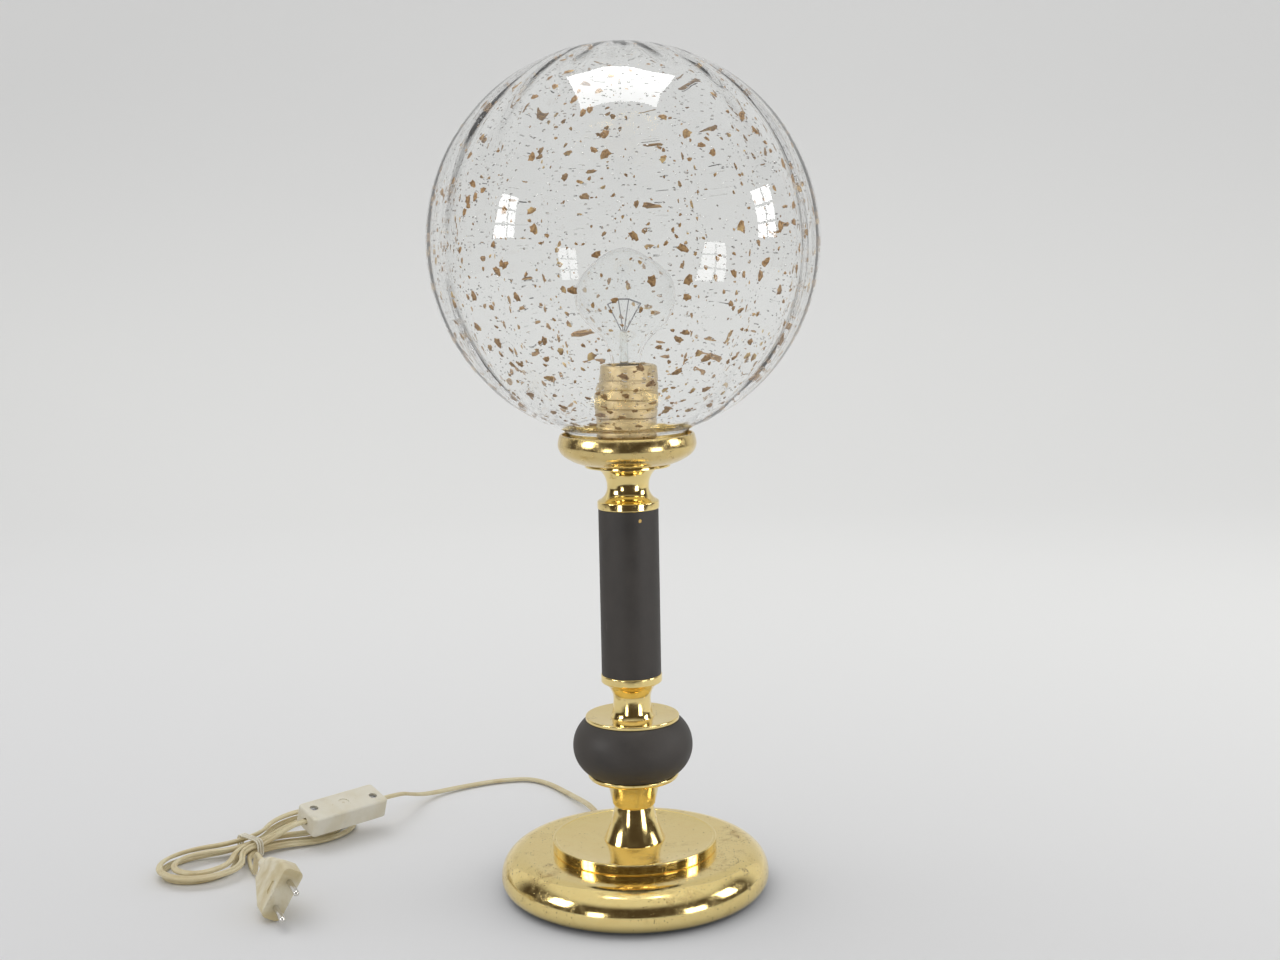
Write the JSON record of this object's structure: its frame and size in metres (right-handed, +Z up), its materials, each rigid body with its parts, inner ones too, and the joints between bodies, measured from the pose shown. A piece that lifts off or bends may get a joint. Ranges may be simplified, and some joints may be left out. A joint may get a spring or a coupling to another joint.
{
  "type": "glass globe table lamp",
  "caption": "Table lamp with a clear flaked glass globe on a turned brass and dark brown column, a low round brass base, and a flex with an inline switch and plug.",
  "frame": {"origin": "centre of the underside of the base", "axes": "+Z up along the column; -Y towards the camera side; +X to the lamp's right in the picture"},
  "size_m": [0.4598, 0.3514, 0.556],
  "materials": {
    "brass": "polished, with light tarnish and small pits",
    "inner_brass": "plain, unpolished",
    "zinc_steel": "zinc plated",
    "cast_weight": "as cast, dark",
    "brown_paint": "matt dark brown coating with fine scratches",
    "brown_wood": "turned wood with a matt dark brown coating",
    "felt": "dense felt",
    "clear_glass": "clear, ribbed, with gold-brown flakes",
    "bulb_glass": "clear, smooth",
    "bulb_stem_glass": "clear, pressed",
    "black_glass": "black cap insulator",
    "porcelain": "glazed porcelain",
    "cap_metal": "bright rolled screw cap",
    "solder": "dull solder",
    "filament": "dark drawn wire",
    "seat_rubber": "pale soft ring",
    "flex_ivory": "yellowed ivory, satin",
    "switch_white": "off-white moulding",
    "rocker_white": "off-white moulding",
    "plug_white": "yellowed ivory moulding",
    "plug_metal": "nickel plated",
    "tie_wire": "thin coated wire"
  },
  "bodies": {
    "lamp": {"base_pad": "felt", "base_weight": "cast_weight", "base_shell": "brass", "cord_bush": "flex_ivory", "step_disc": "brass", "bell_spindle": "brass", "lower_cup": "brass", "ball": "brown_wood", "upper_cup": "brass", "middle_spindle": "brass", "stem_tube": "brown_paint", "upper_neck": "brass", "gallery": "brass", "threaded_rod": "zinc_steel", "base_washer": "zinc_steel", "base_nut": "zinc_steel", "gallery_washer": "zinc_steel", "gallery_nut": "inner_brass", "globe_seat": "seat_rubber", "holder_cap": "brass", "holder_shell": "brass", "holder_insulator": "porcelain", "holder_liner": "inner_brass", "holder_contact": "inner_brass", "holder_terminals": "inner_brass", "inner_cord": "flex_ivory", "cord_lead": "flex_ivory", "switch_back": "switch_white", "switch_front": "switch_white", "switch_screws": "zinc_steel", "switch_terminals": "inner_brass", "switch_cord_grips": "switch_white", "cord_link": "flex_ivory", "cord_hank": "flex_ivory", "hank_tie": "tie_wire", "cord_tail": "flex_ivory", "plug_body": "plug_white", "plug_pins": "plug_metal"},
    "globe": {"globe": "clear_glass"},
    "bulb_carrier": {"bulb_contact": "solder", "bulb_cap_insulator": "black_glass"},
    "bulb": {"bulb_cap": "cap_metal", "bulb_glass": "bulb_glass", "bulb_mount": "bulb_stem_glass", "bulb_filament": "filament"},
    "rocker": {"switch_rocker": "rocker_white"}
  },
  "joints": [
    {"name": "globe_lift", "type": "slide", "parent": "lamp", "child": "globe", "axis": [0, 0, 1], "range_m": [0, 0.15]},
    {"name": "bulb_turn", "type": "hinge", "parent": "bulb_carrier", "child": "bulb", "pos_m": [0, 0, 0.33], "axis": [0, 0, 1], "range_deg": [0, 1080]},
    {"name": "bulb_rise", "type": "slide", "parent": "lamp", "child": "bulb_carrier", "axis": [0, 0, 1], "range_m": [0, 0.01109]},
    {"name": "switch_rock", "type": "hinge", "parent": "lamp", "child": "rocker", "pos_m": [-0.21591, 0.10173, 0.01846], "axis": [0.6607, -0.6841, -0.309], "range_deg": [0, 18]}
  ],
  "couplings": [
    {"joint": "bulb_rise", "follows": "bulb_turn", "m_per_rad": 0.00057757}
  ]
}
